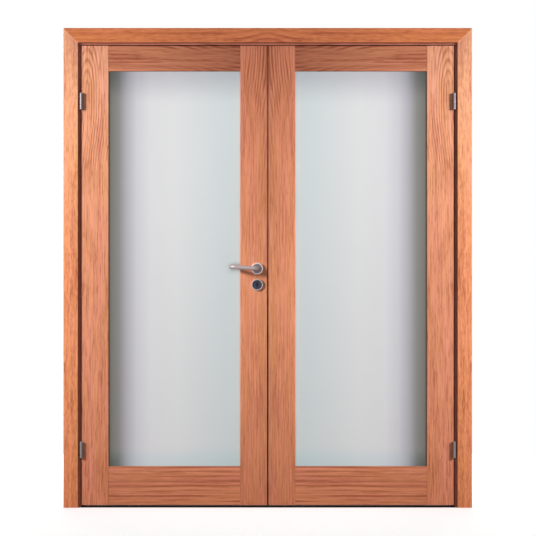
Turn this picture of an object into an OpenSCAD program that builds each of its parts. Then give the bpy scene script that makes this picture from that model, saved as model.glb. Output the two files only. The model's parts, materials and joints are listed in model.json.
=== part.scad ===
// A pair of glazed french doors in their frame, shut.
// Millimetres. The origin is on the floor, in the middle of the opening and of the frame's depth.
// +X runs to the viewer's right, +Y from the front to the back and +Z up.
// The left leaf carries the lock and lever, the right leaf the strike and the flush bolts.

/* [Leaves] */
// Width of each leaf
leaf_w = 825; // [700:5:1000]
// Height of each leaf
leaf_h = 2040; // [1900:10:2300]
// Thickness of each leaf
leaf_t = 40; // [38:1:50]
// Width of every stile
stile_w = 120; // [110:1:160]
// Height of the top rail
top_rail_h = 113; // [100:1:180]
// Height of the bottom rail
bottom_rail_h = 172; // [140:1:260]
// Gap between a leaf and its jamb
side_gap = 3; // [2:0.5:4]
// Gap between the two leaves
meeting_gap = 4; // [3:0.5:6]
// Gap between the leaves and the head
head_gap = 3.5; // [2.5:0.5:6]
// Gap between the leaves and the threshold
floor_gap = 3.5; // [2.5:0.5:8]
// Radius of the long edges of the stiles and rails
leaf_edge_r = 2; // [1:0.5:3]
// Diameter of the dowels that join rail to stile
dowel_d = 10; // [8:1:12]
// Length of those dowels
dowel_len = 90; // [60:5:110]
// Distance from a rail's edge to its first dowel
dowel_inset = 30; // [25:1:35]

/* [Glazing] */
// Thickness of the glass
glass_t = 6; // [4:1:8]
// Thickness of the wood in front of the glass
lip_t = 16; // [12:1:20]
// Depth of the rebate that takes the glass
rebate_w = 12; // [10:1:15]
// Room left between the edge of the glass and the rebate
glass_play = 2; // [1:0.5:4]
// Thickness of the seals on each face of the glass
glazing_seal_t = 2; // [1:0.5:3]
// Height of those seals
glazing_seal_h = 8; // [6:0.5:9]
// Bevel on the visible edge of the glazing beads
bead_bevel = 5; // [2:0.5:7]

/* [Frame] */
// Thickness of the jambs and head beside the leaves
jamb_t = 30; // [26:1:40]
// Depth of the jambs and head
jamb_d = 92; // [85:1:160]
// Chamfer on the long edges of the jambs and head
arris = 1; // [0.5:0.25:2]
// Projection of the stop behind the leaves
stop_w = 12; // [10:1:16]
// Gap between the back of the leaves and the stop
stop_gap = 3; // [2.5:0.25:4]
// Height of the threshold
threshold_h = 8; // [6:1:12]
// Bevel along the threshold's front and back edges
threshold_bevel = 3; // [1:0.5:4]
// Width of the casings
casing_w = 65; // [50:1:90]
// Thickness of the casings
casing_t = 14; // [10:1:16]
// Radius of the casings' front edges
casing_r = 2.5; // [1:0.5:5]
// Width of jamb left showing beside the casing
side_reveal = 12; // [8:0.5:16]
// Width of head left showing below the casing
head_reveal = 10; // [6:0.5:16]
// Width of the bulb on the stop seal
bulb_w = 5; // [4:0.5:6]
// Diameter of the wall fixing holes
fixing_d = 8; // [6:0.5:10]
// Diameter of the cap recess round a fixing hole
fixing_cap_d = 16; // [14:1:20]
// Depth of that cap recess
fixing_cap_deep = 10; // [6:1:12]
// Height of the lowest fixing hole
fixing_low = 150; // [100:5:250]
// Distance from the frame's top to the highest fixing hole
fixing_high = 135; // [100:5:250]

/* [Hinges] */
// Height of the hinges
hinge_h = 70; // [60:1:90]
// Distance from a leaf's end to the middle of its hinge
hinge_inset = 246; // [180:1:300]
// Width of the hinge plates
hinge_plate_w = 30; // [26:1:36]
// Thickness of the hinge plates
hinge_plate_t = 2.5; // [2:0.25:3.5]
// Corner radius of the hinge plates
hinge_corner_r = 6; // [3:0.5:10]
// Diameter of the knuckles
knuckle_d = 14; // [12:0.5:16]
// Height of each outer knuckle
outer_knuckle_h = 19; // [15:1:22]
// Gap between neighbouring knuckles
knuckle_gap = 0.4; // [0.3:0.1:0.8]
// Diameter of the hinge pins
pin_d = 7; // [6:0.5:8]
// Height of the button on each end of a pin
pin_button_h = 2.5; // [1.5:0.5:4]
// Distance of the pin in front of the leaves
pin_out = 9; // [8.5:0.5:12]

/* [Lock] */
// Height of the lever's axis above the floor
lever_z = 1062; // [950:1:1150]
// Distance from the meeting edge to the lever's axis
backset = 45; // [40:1:60]
// Distance from the lever's axis down to the keyhole
keyhole_drop = 72; // [70:1:80]
// Width of the faceplate and the strike
lock_plate_w = 20; // [18:1:24]
// Thickness of the faceplate and the strike
lock_plate_t = 3; // [2:0.5:4]
// Thickness of the lock case
case_t = 14; // [13:0.5:16]
// Depth of the lock case behind the meeting edge
case_deep = 72; // [68:1:85]
// Height of the latch bolt
latch_h = 17; // [14:1:20]
// Thickness of the latch bolt
latch_t = 10; // [8:0.5:10.5]
// Length of the latch bolt
latch_len = 32; // [26:1:36]
// Height of the dead bolt
dead_bolt_h = 30; // [24:1:34]
// Thickness of the dead bolt
dead_bolt_t = 8; // [6:0.5:10]
// Length of the dead bolt
dead_bolt_len = 34; // [28:1:36]
// Depth of the bolt pockets behind the strike's face
strike_deep = 18; // [16:1:25]
// Size of the square spindle
spindle_size = 8; // [7:0.5:9]
// Diameter of the follower that the spindle turns
follower_d = 19; // [17:0.5:22]

/* [Lever and roses] */
// Diameter of the lever's tube
lever_d = 19; // [16:0.5:22]
// Length from the lever's axis to its tip
lever_len = 124; // [110:1:150]
// Distance from the leaf's face to the middle of the grip
grip_out = 50; // [42:1:60]
// Bend radius of the lever's tube, along its middle
lever_bend_r = 19; // [16:1:24]
// Length of the straight return at the lever's tip
lever_return = 5; // [3:1:10]
// Angle by which the lever's tip is raised at rest
lever_tilt = 4; // [0:0.5:6]
// Diameter of the roses and escutcheons
rose_d = 52; // [48:1:56]
// Height of the roses
rose_h = 9; // [7:0.5:12]
// Wall of the roses' covers
rose_wall = 1.5; // [1:0.25:2]
// Edge radius of the roses and escutcheons
rose_edge_r = 2; // [1:0.5:3]
// Height of the escutcheons
escutcheon_h = 8; // [6:0.5:10]
// Width of the escutcheons' ring
escutcheon_ring_w = 5; // [4:0.5:7]
// Thickness of the keyhole plate inside the ring
keyhole_plate_t = 4; // [2:0.5:5]
// Height of the keyhole
keyhole_h = 20; // [16:1:24]
// Width of the keyhole's round top
keyhole_bow_d = 8; // [7:0.5:9]
// Width of the keyhole's slot
keyhole_slot_w = 5.5; // [4:0.5:6]

/* [Flush bolts] */
// Length of the flush bolts' plates
bolt_plate_h = 150; // [120:5:200]
// Distance from the leaf's end to the plate
bolt_plate_inset = 14; // [10:1:25]
// Diameter of the bolt rods
bolt_rod_d = 8; // [6:0.5:9]
// Distance of the rods behind the meeting edge
bolt_rod_in = 14; // [14:0.5:18]
// Travel of the rods
bolt_travel = 12; // [8:1:15]
// Height of the thumb slides
thumb_h = 24; // [18:1:30]

/* [Clearances] */
// Clearance round pieces let into the wood
inlay_fit = 0.2; // [0.1:0.05:0.4]
// Radial clearance of the pins, shafts and dowels
turning_fit = 0.08; // [0.05:0.01:0.1]
// Clearance round the sliding bolts
sliding_fit = 0.3; // [0.2:0.05:0.5]
// Clearance of the rubber seals from what they close on
seal_fit = 0.5; // [0.3:0.1:0.8]

/* [Hidden] */
$fn = 64;
beyond = 1;

// Depths: the leaves lie flush with the front of the frame
leaf_front = -jamb_d / 2;
leaf_back = leaf_front + leaf_t;
leaf_mid = leaf_front + leaf_t / 2;
stop_y = leaf_back + stop_gap;
jamb_back = leaf_front + jamb_d;

// Heights, from the floor up
leaf_z0 = threshold_h + floor_gap;
leaf_z1 = leaf_z0 + leaf_h;
glass_z0 = leaf_z0 + bottom_rail_h;
glass_z1 = leaf_z1 - top_rail_h;
head_z = leaf_z1 + head_gap;
frame_top = head_z + jamb_t;
casing_in_z = head_z + head_reveal;
casing_top = casing_in_z + casing_w;

// Widths, from the middle of the opening to the right
meeting_x = meeting_gap / 2;
hinge_edge_x = meeting_x + leaf_w;
glass_x0 = meeting_x + stile_w;
glass_x1 = hinge_edge_x - stile_w;
rebate_x = hinge_edge_x + side_gap;
stop_x = rebate_x - stop_w;
jamb_x = rebate_x + jamb_t;
casing_in_x = rebate_x + side_reveal;
casing_out_x = casing_in_x + casing_w;

// Glazing, from the front lip to the back of the leaf
bead_d = leaf_t - lip_t - glass_t - 2 * glazing_seal_t;
glass_y = leaf_front + lip_t + glazing_seal_t;
bead_mitre_gap = 0.1;

// Stop seal
bulb_out = stop_gap - seal_fit;
seal_stem_w = 2.4;
seal_stem_d = 5;
seal_x = stop_x + (stop_w - side_gap) / 2;
seal_z = head_z - stop_w + (stop_w - head_gap) / 2;
head_seal_x = stop_x + seal_z - seal_stem_w / 2 - (head_z - stop_w);

// Wall fixings
fixing_y = (stop_y + jamb_back) / 2;
fixing_count = 4;

// Hinges
hinge_x = hinge_edge_x + side_gap / 2;
hinge_y = leaf_front - pin_out;
hinge_zs = [leaf_z0 + hinge_inset, leaf_z1 - hinge_inset];
knuckle_r = knuckle_d / 2;
pin_r = pin_d / 2;
inner_knuckle_h = hinge_h - 2 * (outer_knuckle_h + knuckle_gap);
screw_stagger = 5;

// Wood screws
screw_d = 4;
screw_head_d = 7.6;
screw_len = 22;
short_screw_len = 9;
corner_screw_len = 70;
corner_screw_inset = 15;
screw_head_h = (screw_head_d - screw_d) / 2;
screw_cross = [4.2, 0.9, 1.1];
pilot_play = 0.1;

// Lock, measured from the meeting edge and the lever's axis
latch_z = 26;
latch_bevel = 8;
latch_nose = 2;
bolt_flush = 0.5;
case_top = latch_z + latch_h / 2 + 12;
case_bottom = -keyhole_drop - dead_bolt_h / 2 - 20;
plate_over = 20;
plate_top = case_top + plate_over;
plate_bottom = case_bottom - plate_over;
plate_screw_inset = plate_over / 2;
plate_end_flat = 1;
spindle_hole_d = lever_d + 1;
keyhole_room = 1.5;

// Roses and lever
rose_r = rose_d / 2;
lever_r = lever_d / 2;
lever_neck_in = 1;
socket_deep = 26;
grub_d = 5;
grub_out = 18;
grub_len = 4.5;
rose_screw_r = 17;
rose_screw_seat = 3;

// Flush bolts
bolt_plate_mid = -bolt_plate_inset - bolt_plate_h / 2;
bolt_pocket_deep = bolt_rod_in + bolt_rod_d / 2 + 1;
bolt_pocket_w = bolt_rod_d + 2;
bolt_pocket_end = 16;
thumb_w = bolt_rod_d - 1;
thumb_recess = 0.4;
thumb_start = bolt_plate_h / 2 + thumb_h / 2;
rod_tail = 8;
keep_hole_d = bolt_rod_d + 2;
keep_plate = [50, 20, 2];
keep_hole_deep = 18;

// Meeting seal
meeting_seal_in = 7;
meeting_stem = [4.5, 2.6];
meeting_fin_t = 3;

// Helpers

// Mirrors what is drawn for the right leaf onto the left one
module on_left() mirror([1, 0, 0]) children();

// Rectangle with rounded corners, centred
module rounded_rect(size, r) {
    square([size.x - 2 * r, size.y], center = true);
    square([size.x, size.y - 2 * r], center = true);
    for (sx = [-1, 1], sy = [-1, 1])
        translate([sx * (size.x / 2 - r), sy * (size.y / 2 - r)]) circle(r);
}

// Section of a stile or rail, from one corner, with its edges eased
module board_section(width, height) {
    translate([width / 2, height / 2]) rounded_rect([width, height], leaf_edge_r);
}

// Extrudes a section drawn in (y, z) along +X
module along_x(length) rotate([90, 0, 90]) linear_extrude(length) children();

// Extrudes an outline drawn in (x, z) through the whole depth of the frame and the casings
module through_depth() {
    translate([0, jamb_back + beyond, 0])
        rotate([90, 0, 0]) linear_extrude(jamb_d + casing_t + 2 * beyond) children();
}

// So many places, evenly spread from the first to the last
function spread(low, high, count) = [for (i = [0 : count - 1]) low + (high - low) * i / (count - 1)];

// Box between two corners
module box(low, high) translate(low) cube(high - low);

// Countersunk screw along +Z into the wood, with the top of its head at z = 0
module wood_screw(length) {
    difference() {
        union() {
            cylinder(h = screw_head_h, d1 = screw_head_d, d2 = screw_d);
            translate([0, 0, screw_head_h]) cylinder(h = length - screw_head_h - screw_d / 2, d = screw_d);
            translate([0, 0, length - screw_d / 2]) cylinder(h = screw_d / 2, d1 = screw_d, d2 = screw_d / 4);
        }
        for (turn = [0, 90])
            rotate([0, 0, turn]) cube([screw_cross.x, screw_cross.y, 2 * screw_cross.z], center = true);
    }
}

// Room for such a screw
module screw_room(length) {
    translate([0, 0, -beyond])
        cylinder(h = beyond, d = screw_head_d + 2 * pilot_play);
    cylinder(h = screw_head_h, d1 = screw_head_d + 2 * pilot_play, d2 = screw_d + 2 * pilot_play);
    cylinder(h = length + pilot_play, d = screw_d + 2 * pilot_play);
}

// Frame

module jamb_section() {
    polygon([
        [rebate_x, leaf_front + arris], [rebate_x + arris, leaf_front], [jamb_x, leaf_front],
        [jamb_x, jamb_back], [stop_x + arris, jamb_back], [stop_x, jamb_back - arris],
        [stop_x, stop_y + arris], [stop_x + arris, stop_y], [rebate_x, stop_y],
    ]);
}

module head_section() {
    polygon([
        [leaf_front + arris, head_z], [leaf_front, head_z + arris], [leaf_front, frame_top],
        [jamb_back, frame_top], [jamb_back, head_z - stop_w + arris], [jamb_back - arris, head_z - stop_w],
        [stop_y + arris, head_z - stop_w], [stop_y, head_z - stop_w + arris], [stop_y, head_z],
    ]);
}

// Outline of the head between its two mitres, reaching down to the stop
module head_mitre() {
    polygon([
        [-stop_x, head_z - stop_w], [stop_x, head_z - stop_w], [jamb_x, frame_top], [-jamb_x, frame_top],
    ]);
}

// The part of a jamb below the mitre
module jamb_mitre() {
    polygon([[stop_x, 0], [jamb_x, 0], [jamb_x, frame_top], [stop_x, head_z - stop_w]]);
}

module fixing_holes() {
    for (z = spread(fixing_low, frame_top - fixing_high, fixing_count))
        translate([stop_x, fixing_y, z]) rotate([0, 90, 0]) {
            translate([0, 0, -beyond]) cylinder(h = jamb_x - stop_x + 2 * beyond, d = fixing_d);
            translate([0, 0, -beyond]) cylinder(h = fixing_cap_deep + beyond, d = fixing_cap_d);
        }
}

module corner_screws_at() {
    for (y = [leaf_front + corner_screw_inset, jamb_back - corner_screw_inset])
        translate([jamb_x - corner_screw_inset, y, frame_top]) rotate([180, 0, 0]) children();
}

module jamb() {
    difference() {
        intersection() {
            linear_extrude(frame_top) jamb_section();
            through_depth() jamb_mitre();
        }
        box([seal_x - seal_stem_w / 2, stop_y - beyond, -beyond],
            [seal_x + seal_stem_w / 2, stop_y + seal_stem_d, seal_z]);
        fixing_holes();
        corner_screws_at() screw_room(corner_screw_len);
        at_hinges() {
            hinge_recess(0);
            hinge_screws_at(0) screw_room(screw_len);
        }
    }
}

module left_jamb() color("peru") on_left() jamb();
module right_jamb() color("peru") jamb();

module head_jamb() {
    color("peru") difference() {
        intersection() {
            translate([-jamb_x, 0, 0]) along_x(2 * jamb_x) head_section();
            through_depth() head_mitre();
        }
        box([-seal_x, stop_y - beyond, seal_z - seal_stem_w / 2],
            [seal_x, stop_y + seal_stem_d, seal_z + seal_stem_w / 2]);
        for (side = [0, 1])
            mirror([side, 0, 0]) corner_screws_at() screw_room(corner_screw_len);
        at_keep() {
            box([-keep_plate.x / 2 - inlay_fit, -keep_plate.y / 2 - inlay_fit, -beyond],
                [keep_plate.x / 2 + inlay_fit, keep_plate.y / 2 + inlay_fit, keep_plate.z]);
            cylinder(h = keep_hole_deep, d = keep_hole_d);
            keep_screws_at() screw_room(screw_len);
        }
    }
}

module threshold_section() {
    polygon([
        [leaf_front, 0], [jamb_back, 0], [jamb_back, threshold_h - threshold_bevel],
        [jamb_back - threshold_bevel, threshold_h], [leaf_front + threshold_bevel, threshold_h],
        [leaf_front, threshold_h - threshold_bevel],
    ]);
}

module threshold() {
    color([0.08, 0.06, 0.06]) difference() {
        translate([-rebate_x, 0, 0]) along_x(2 * rebate_x) threshold_section();
        for (side = [0, 1])
            mirror([side, 0, 0])
                box([stop_x, stop_y, -beyond], [rebate_x + beyond, jamb_back + beyond, threshold_h + beyond]);
        at_bolt(false) translate([bolt_rod_in, 0, 0]) cylinder(h = leaf_z0 + beyond, d = keep_hole_d);
    }
}

// Flat casing with rounded front edges: u runs outward from the opening, v to the front
module casing_section() {
    square([casing_w, casing_t - casing_r]);
    translate([casing_r, 0]) square([casing_w - 2 * casing_r, casing_t]);
    for (u = [casing_r, casing_w - casing_r])
        translate([u, casing_t - casing_r]) circle(casing_r);
}

module side_casing() {
    intersection() {
        translate([casing_in_x, leaf_front, 0]) mirror([0, 1, 0]) linear_extrude(casing_top) casing_section();
        through_depth() polygon([
            [casing_in_x, 0], [casing_out_x, 0], [casing_out_x, casing_top], [casing_in_x, casing_in_z],
        ]);
    }
}

module left_casing() color("sandybrown") on_left() side_casing();
module right_casing() color("sandybrown") side_casing();

module head_casing() {
    color("sandybrown") intersection() {
        translate([-casing_out_x, leaf_front, casing_in_z])
            along_x(2 * casing_out_x) rotate(90) casing_section();
        through_depth() polygon([
            [-casing_in_x, casing_in_z], [casing_in_x, casing_in_z],
            [casing_out_x, casing_top], [-casing_out_x, casing_top],
        ]);
    }
}

// Rubber seal: a half-round bulb on the stop's face and a stem in its groove
module stop_seal_section() {
    intersection() {
        translate([0, bulb_w / 2 - bulb_out]) circle(d = bulb_w);
        translate([-bulb_w / 2, -bulb_out]) square([bulb_w, bulb_out]);
    }
    translate([-seal_stem_w / 2, 0]) square([seal_stem_w, seal_stem_d]);
}

module side_stop_seal() {
    translate([seal_x, stop_y, threshold_h])
        linear_extrude(seal_z - bulb_w / 2 - inlay_fit - threshold_h) stop_seal_section();
}

module left_stop_seal() color("saddlebrown") on_left() side_stop_seal();
module right_stop_seal() color("saddlebrown") side_stop_seal();

module head_stop_seal() {
    color("saddlebrown") translate([-head_seal_x, stop_y, seal_z])
        along_x(2 * head_seal_x) rotate(-90) stop_seal_section();
}

// Hinges, drawn about the pin of the right-hand side: +X is the jamb, -X the leaf

module at_hinge(z) translate([hinge_x, hinge_y, z]) children();
module at_hinges() for (z = hinge_zs) at_hinge(z) children();

// A plate's outline, in (y, z), from the front of the wood to the plate's rounded back corners
module hinge_outline(extra, ahead) {
    height = hinge_h + 2 * extra;
    back = hinge_plate_w + extra;
    translate([-ahead, -height / 2]) square([back + ahead - hinge_corner_r, height]);
    translate([-ahead, hinge_corner_r - height / 2]) square([back + ahead, height - 2 * hinge_corner_r]);
    for (side = [-1, 1])
        translate([back - hinge_corner_r, side * (height / 2 - hinge_corner_r)]) circle(hinge_corner_r);
}

// Half 0 is let into the jamb, half 1 into the leaf
module for_half(half) mirror([half, 0, 0]) children();

module hinge_plate(half) {
    for_half(half) translate([side_gap / 2, pin_out, 0]) along_x(hinge_plate_t) hinge_outline(0, 0);
}

// Room for the plate, open towards the gap and the front
module hinge_recess(half) {
    for_half(half) translate([side_gap / 2 - beyond, pin_out, 0])
        along_x(hinge_plate_t + beyond) hinge_outline(inlay_fit, beyond);
}

module hinge_screws_at(half) {
    for (i = [-1 : 1])
        translate([(half == 0 ? 1 : -1) * side_gap / 2,
                   pin_out + hinge_plate_w / 2 + (i == 0 ? -1 : 1) * screw_stagger,
                   i * hinge_h / 3])
            rotate([0, half == 0 ? 90 : -90, 0]) children();
}

// The knuckle between two heights, with the tab that joins it to its plate
module knuckle(half, low, high) {
    translate([0, 0, low]) cylinder(h = high - low, d = knuckle_d);
    for_half(half)
        box([side_gap / 2, 0, low], [side_gap / 2 + hinge_plate_t, pin_out + hinge_corner_r, high]);
}

module hinge_half(half) {
    difference() {
        union() {
            hinge_plate(half);
            if (half == 0) {
                knuckle(0, hinge_h / 2 - outer_knuckle_h, hinge_h / 2);
                knuckle(0, -hinge_h / 2, outer_knuckle_h - hinge_h / 2);
            } else {
                knuckle(1, -inner_knuckle_h / 2, inner_knuckle_h / 2);
            }
        }
        cylinder(h = hinge_h + 2 * beyond, r = pin_r + turning_fit, center = true);
        hinge_screws_at(half) screw_room(screw_len);
    }
}

module right_frame_hinge(z) color("silver") at_hinge(z) hinge_half(0);
module right_leaf_hinge(z) color("silver") at_hinge(z) hinge_half(1);

module left_lower_frame_hinge() on_left() right_frame_hinge(hinge_zs[0]);
module left_upper_frame_hinge() on_left() right_frame_hinge(hinge_zs[1]);
module right_lower_frame_hinge() right_frame_hinge(hinge_zs[0]);
module right_upper_frame_hinge() right_frame_hinge(hinge_zs[1]);
module left_lower_leaf_hinge() on_left() right_leaf_hinge(hinge_zs[0]);
module left_upper_leaf_hinge() on_left() right_leaf_hinge(hinge_zs[1]);
module right_lower_leaf_hinge() right_leaf_hinge(hinge_zs[0]);
module right_upper_leaf_hinge() right_leaf_hinge(hinge_zs[1]);

// A pin with a button on each end
module hinge_pin() {
    cylinder(h = hinge_h, r = pin_r, center = true);
    for (side = [0, 1])
        mirror([0, 0, side]) translate([0, 0, hinge_h / 2]) {
            cylinder(h = pin_button_h / 2, d = knuckle_d - 1);
            translate([0, 0, pin_button_h / 2])
                cylinder(h = pin_button_h / 2, d1 = knuckle_d - 1, d2 = knuckle_d - 4);
        }
}

module hinge_pins() {
    color("silver") for (side = [0, 1])
        mirror([side, 0, 0]) at_hinges() hinge_pin();
}

module frame_screws() {
    color("gray") {
        for (side = [0, 1])
            mirror([side, 0, 0]) {
                at_hinges() hinge_screws_at(0) wood_screw(screw_len);
                corner_screws_at() wood_screw(corner_screw_len);
            }
        at_keep() keep_screws_at() wood_screw(screw_len);
    }
}

// Leaves, drawn for the right-hand side

module glazing_pocket() {
    box([glass_x0 - rebate_w, leaf_front + lip_t, glass_z0 - rebate_w],
        [glass_x1 + rebate_w, leaf_back + beyond, glass_z1 + rebate_w]);
}

function dowel_zs() = concat(
    spread(leaf_z0 + dowel_inset, glass_z0 - dowel_inset, 3),
    spread(glass_z1 + dowel_inset, leaf_z1 - dowel_inset, 2));

module dowels_at() {
    for (x = [glass_x0, glass_x1], z = dowel_zs())
        translate([x, leaf_mid, z]) rotate([0, 90, 0]) children();
}

module dowel_holes() {
    dowels_at() cylinder(h = dowel_len + 2 * beyond, d = dowel_d + 2 * turning_fit, center = true);
}

module dowels() color("burlywood") dowels_at() cylinder(h = dowel_len, d = dowel_d, center = true);

module stile(x) translate([x, leaf_front, leaf_z0]) linear_extrude(leaf_h) board_section(stile_w, leaf_t);

module rail(z, height) {
    difference() {
        translate([glass_x0, leaf_front, z]) along_x(glass_x1 - glass_x0) board_section(leaf_t, height);
        glazing_pocket();
        dowel_holes();
    }
}

module hinge_stile() {
    color("lightsalmon") difference() {
        stile(glass_x1);
        glazing_pocket();
        dowel_holes();
        at_hinges() {
            hinge_recess(1);
            hinge_screws_at(1) screw_room(screw_len);
        }
    }
}

module top_rail() color("indianred") rail(glass_z1, top_rail_h);
module bottom_rail() color("indianred") rail(leaf_z0, bottom_rail_h);

module glass_pane() {
    edge = rebate_w - glass_play;
    color([0.86, 0.88, 0.88, 0.8])
        box([glass_x0 - edge, glass_y, glass_z0 - edge],
            [glass_x1 + edge, glass_y + glass_t, glass_z1 + edge]);
}

// One seal in front of the glass and one behind it
module glazing_seals() {
    color("dimgray") for (y = [leaf_front + lip_t, glass_y + glass_t])
        difference() {
            box([glass_x0 - glazing_seal_h, y, glass_z0 - glazing_seal_h],
                [glass_x1 + glazing_seal_h, y + glazing_seal_t, glass_z1 + glazing_seal_h]);
            box([glass_x0, y - beyond, glass_z0], [glass_x1, y + glazing_seal_t + beyond, glass_z1]);
        }
}

// Bead section: u runs from the opening into the rebate, v from the glass to the back of the leaf
module bead_section() {
    polygon([
        [0, 0], [rebate_w, 0], [rebate_w, bead_d], [bead_bevel, bead_d], [0, bead_d - bead_bevel],
    ]);
}

// A bead of the given clear length, along +X, mitred outward at both ends
module bead(length) {
    intersection() {
        translate([-rebate_w, 0, 0]) along_x(length + 2 * rebate_w) mirror([1, -1]) bead_section();
        translate([0, bead_d + beyond, 0]) rotate([90, 0, 0]) linear_extrude(bead_d + 2 * beyond)
            polygon([
                [bead_mitre_gap, 0], [length - bead_mitre_gap, 0],
                [length + rebate_w - bead_mitre_gap, rebate_w], [bead_mitre_gap - rebate_w, rebate_w],
            ]);
    }
}

module glazing_beads() {
    wide = glass_x1 - glass_x0;
    high = glass_z1 - glass_z0;
    color("indianred") translate([0, leaf_back - bead_d, 0]) {
        translate([glass_x0, 0, glass_z1]) bead(wide);
        translate([glass_x1, 0, glass_z0]) rotate([0, 180, 0]) bead(wide);
        translate([glass_x1, 0, glass_z1]) rotate([0, 90, 0]) bead(high);
        translate([glass_x0, 0, glass_z0]) rotate([0, -90, 0]) bead(high);
    }
}

module left_hinge_stile() on_left() hinge_stile();
module left_top_rail() on_left() top_rail();
module left_bottom_rail() on_left() bottom_rail();
module left_glass() on_left() glass_pane();
module left_glazing_seals() on_left() glazing_seals();
module left_glazing_beads() on_left() glazing_beads();
module left_dowels() on_left() dowels();

module right_hinge_stile() hinge_stile();
module right_top_rail() top_rail();
module right_bottom_rail() bottom_rail();
module right_glass() glass_pane();
module right_glazing_seals() glazing_seals();
module right_glazing_beads() glazing_beads();
module right_dowels() dowels();

// Lock, drawn from the left leaf's meeting edge (x = 0, the leaf is at -X) and the lever's axis (z = 0)

module at_lock() translate([-meeting_x, leaf_mid, lever_z]) children();

// A face of the left leaf, with +Z outward, +Y up and the origin on the lever's axis
module on_face(back) {
    at_lock() mirror([0, back, 0]) translate([-backset, -leaf_t / 2, 0]) rotate([90, 0, 0]) children();
}

// Through the leaf, on the lever's axis, with +Z to the front
module on_axis() at_lock() translate([-backset, 0, 0]) rotate([90, 0, 0]) children();

// A keyhole: a round top over a slot, centred on its height
module keyhole(extra) {
    bow_y = (keyhole_h - keyhole_bow_d) / 2;
    translate([0, bow_y]) circle(d = keyhole_bow_d + 2 * extra);
    translate([-keyhole_slot_w / 2 - extra, -keyhole_h / 2 - extra])
        square([keyhole_slot_w + 2 * extra, keyhole_h / 2 + bow_y + extra]);
}

// Room for a bolt that slides along X, from x0 to x1, at the given height
module bolt_room(x0, x1, thick, high, z, extra) {
    box([x0, -thick / 2 - extra, z - high / 2 - extra], [x1, thick / 2 + extra, z + high / 2 + extra]);
}

module latch_room(x0, x1, extra) bolt_room(x0, x1, latch_t, latch_h, latch_z, extra);
module dead_bolt_room(x0, x1, extra) bolt_room(x0, x1, dead_bolt_t, dead_bolt_h, -keyhole_drop, extra);

// A flat strip with round ends, let into a leaf's edge: from x = -ahead to the lock plates' thickness
module edge_plate(height, mid, extra, ahead) {
    translate([-ahead, 0, mid]) along_x(lock_plate_t + ahead)
        rounded_rect([lock_plate_w + 2 * extra, height + 2 * extra], lock_plate_w / 2 - plate_end_flat);
}

// Faceplate or strike
module lock_plate(extra, ahead) {
    edge_plate(plate_top - plate_bottom, (plate_top + plate_bottom) / 2, extra, ahead);
}

module plate_screws_at() {
    for (z = [plate_top - plate_screw_inset, plate_bottom + plate_screw_inset])
        translate([0, 0, z]) rotate([0, 90, 0]) children();
}

module rose_screws_at() {
    for (turn = [45, 225])
        rotate([0, 0, turn]) translate([rose_screw_r, 0, 0]) children();
}

module left_lock_stile() {
    color("lightsalmon") difference() {
        on_left() stile(meeting_x);
        on_left() glazing_pocket();
        on_left() dowel_holes();
        at_lock() {
            box([-case_deep - inlay_fit, -case_t / 2 - inlay_fit, case_bottom - inlay_fit],
                [beyond, case_t / 2 + inlay_fit, case_top + inlay_fit]);
            mirror([1, 0, 0]) {
                lock_plate(inlay_fit, beyond);
                plate_screws_at() screw_room(screw_len);
            }
        }
        on_axis() {
            cylinder(h = leaf_t + 2 * beyond, d = spindle_hole_d, center = true);
            translate([0, -keyhole_drop, 0])
                linear_extrude(leaf_t + 2 * beyond, center = true) keyhole(keyhole_room);
        }
        for (back = [0, 1])
            on_face(back) rose_screws_at() mirror([0, 0, 1]) screw_room(short_screw_len - rose_screw_seat);
    }
}

module lock_case() {
    color("gray") difference() {
        at_lock() box([-case_deep, -case_t / 2, case_bottom], [-lock_plate_t, case_t / 2, case_top]);
        at_lock() {
            latch_room(-latch_len - 2 * bolt_flush, beyond, sliding_fit);
            dead_bolt_room(-dead_bolt_len - 2 * bolt_flush, beyond, sliding_fit);
        }
        on_axis() {
            cylinder(h = case_t + 2 * beyond, r = follower_d / 2 + turning_fit, center = true);
            translate([0, -keyhole_drop, 0]) linear_extrude(case_t + 2 * beyond, center = true) keyhole(0);
        }
    }
}

module lock_faceplate() {
    color("silver") at_lock() difference() {
        mirror([1, 0, 0]) lock_plate(0, 0);
        latch_room(-lock_plate_t - beyond, beyond, sliding_fit);
        dead_bolt_room(-lock_plate_t - beyond, beyond, sliding_fit);
        mirror([1, 0, 0]) plate_screws_at() screw_room(screw_len);
    }
}

// The latch stands withdrawn; its bevel faces the way the leaf shuts
module latch_bolt() {
    color("silver") at_lock() translate([-bolt_flush, 0, latch_z - latch_h / 2])
        linear_extrude(latch_h) polygon([
            [-latch_len, -latch_t / 2], [0, -latch_t / 2], [0, latch_nose - latch_t / 2],
            [-latch_bevel, latch_t / 2], [-latch_len, latch_t / 2],
        ]);
}

module dead_bolt() color("silver") at_lock() dead_bolt_room(-dead_bolt_len, -bolt_flush, 0);

module left_leaf_screws() {
    color("gray") {
        on_left() at_hinges() hinge_screws_at(1) wood_screw(screw_len);
        at_lock() mirror([1, 0, 0]) plate_screws_at() wood_screw(screw_len);
        for (back = [0, 1])
            on_face(back) rose_screws_at() translate([0, 0, rose_screw_seat]) mirror([0, 0, 1])
                wood_screw(short_screw_len);
    }
}

// Solid of revolution with a rounded front edge
module rounded_disc(r, height, edge_r) {
    rotate_extrude() {
        square([r, height - edge_r]);
        square([r - edge_r, height]);
        translate([r - edge_r, height - edge_r]) intersection() {
            circle(edge_r);
            square(edge_r);
        }
    }
}

module rose() {
    color("silver") difference() {
        rounded_disc(rose_r, rose_h, rose_edge_r);
        translate([0, 0, -beyond]) cylinder(h = rose_h - rose_wall + beyond, r = rose_r - rose_wall);
        cylinder(h = rose_h + beyond, r = lever_r + sliding_fit);
    }
}

module front_rose() on_face(0) rose();
module back_rose() on_face(1) rose();

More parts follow.
